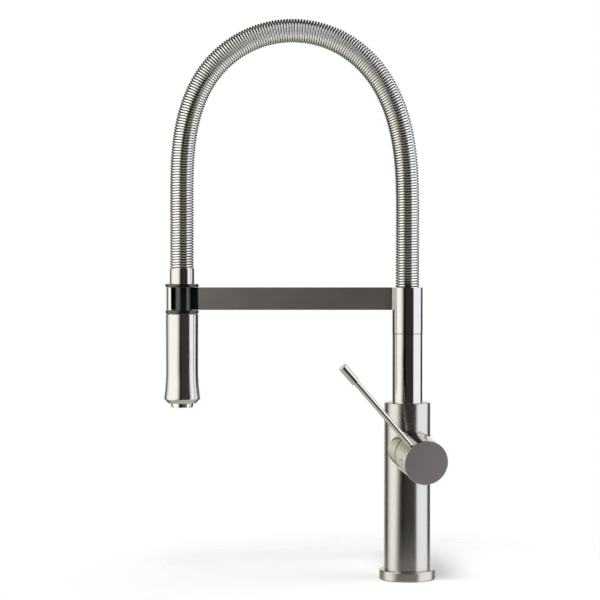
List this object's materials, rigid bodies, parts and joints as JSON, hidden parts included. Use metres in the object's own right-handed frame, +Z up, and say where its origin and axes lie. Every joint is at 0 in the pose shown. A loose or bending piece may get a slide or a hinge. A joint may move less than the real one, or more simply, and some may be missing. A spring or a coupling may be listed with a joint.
{
  "type": "kitchen faucet",
  "caption": "Deck-mounted spring-neck kitchen faucet with a single-lever side barrel and a swivelling horizontal arm that docks a pull-off spray head.",
  "frame": {"origin": "centre of the face that stands on the deck, on the column's axis", "axes": "+Z up along the column; -X along the docking arm towards the spray head; -Y is the side that the clasp opens to and that the mixer barrel looks along, turned 13 degrees towards +X and dipped 7.5 degrees"},
  "size_m": [0.3022, 0.1346, 0.6036],
  "materials": {
    "steel_brushed": "fine straight-brushed stainless steel",
    "steel_spring": "bright drawn stainless wire",
    "steel_turned": "fine turned stainless steel",
    "chrome": "polished chrome plate",
    "brass": "machined brass",
    "copper": "drawn copper tube",
    "plastic_black": "gloss black acetal",
    "plastic_white": "natural acetal",
    "plastic_grey": "glass-filled nylon",
    "ceramic": "ground alumina ceramic",
    "rubber_black": "nitrile rubber",
    "silicone_grey": "moulded silicone",
    "hose_braid": "braid-covered rubber hose",
    "enamel_blue": "blue enamel",
    "enamel_red": "red enamel"
  },
  "bodies": {
    "column": {"base_flange": "steel_brushed", "base_seal": "rubber_black", "body_shell": "steel_brushed", "waterway_core": "brass", "hot_supply_tube": "copper", "cold_supply_tube": "copper", "post_tube": "steel_brushed", "riser_pipe": "copper", "outlet_spigot": "brass", "slip_ring": "plastic_black", "spigot_clip": "steel_turned", "spigot_orings": "rubber_black", "valve_collar": "steel_brushed", "cartridge_base": "plastic_grey", "cartridge_seals": "rubber_black", "fixed_disc": "ceramic", "cartridge_body": "plastic_grey", "cartridge_nut": "brass", "cartridge_dome": "plastic_black"},
    "arm": {"arm_sleeve": "steel_brushed", "docking_arm": "steel_brushed", "clasp_liner": "plastic_black", "lower_bush": "plastic_white", "upper_bush": "plastic_white"},
    "spout": {"hose_base_nut": "brass", "spring_seat": "steel_turned", "hose": "hose_braid", "spring": "steel_spring", "spring_ferrule": "steel_brushed", "dock_spool": "plastic_black", "swivel_stem": "brass", "swivel_oring": "rubber_black"},
    "spray_head": {"head_shell": "steel_brushed", "head_nut": "brass", "head_channel": "plastic_grey", "check_valve": "plastic_grey", "nozzle_washer": "rubber_black", "nozzle_ring": "chrome", "spray_face": "silicone_grey", "flow_former": "plastic_white"},
    "mixer": {"cartridge_driver": "plastic_white", "pivot_pin": "steel_turned"},
    "disc_slider": {"sliding_disc": "ceramic", "disc_carrier": "plastic_white"},
    "handle": {"handle_cap": "steel_brushed", "handle_screw": "steel_turned", "lever_rod": "steel_turned", "cartridge_stem": "brass", "cold_mark": "enamel_blue", "hot_mark": "enamel_red"}
  },
  "joints": [
    {"name": "arm_swivel", "type": "hinge", "parent": "column", "child": "arm", "pos_m": [0, 0, 0.2656], "axis": [0, 0, 1], "continuous": true},
    {"name": "spout_swing", "type": "hinge", "parent": "arm", "child": "spout", "pos_m": [0, 0, 0.303], "axis": [0, 0, 1], "range_deg": [0, 100]},
    {"name": "head_spin", "type": "hinge", "parent": "spout", "child": "spray_head", "pos_m": [-0.243, 0, 0.264], "axis": [0, 0, 1], "continuous": true},
    {"name": "temperature_turn", "type": "hinge", "parent": "column", "child": "mixer", "pos_m": [0, 0, 0.1423], "axis": [0.223, -0.966, -0.1305], "range_deg": [-45, 45]},
    {"name": "flow_tilt", "type": "hinge", "parent": "mixer", "child": "handle", "pos_m": [0.00796, -0.03449, 0.13764], "axis": [0.7426, 0.0816, 0.6647], "range_deg": [0, 18]},
    {"name": "disc_slide", "type": "slide", "parent": "mixer", "child": "disc_slider", "axis": [-0.6315, -0.2452, 0.7356], "range_m": [0, 0.005]}
  ],
  "couplings": [
    {"joint": "disc_slide", "follows": "flow_tilt", "m_per_rad": 0.01575}
  ]
}
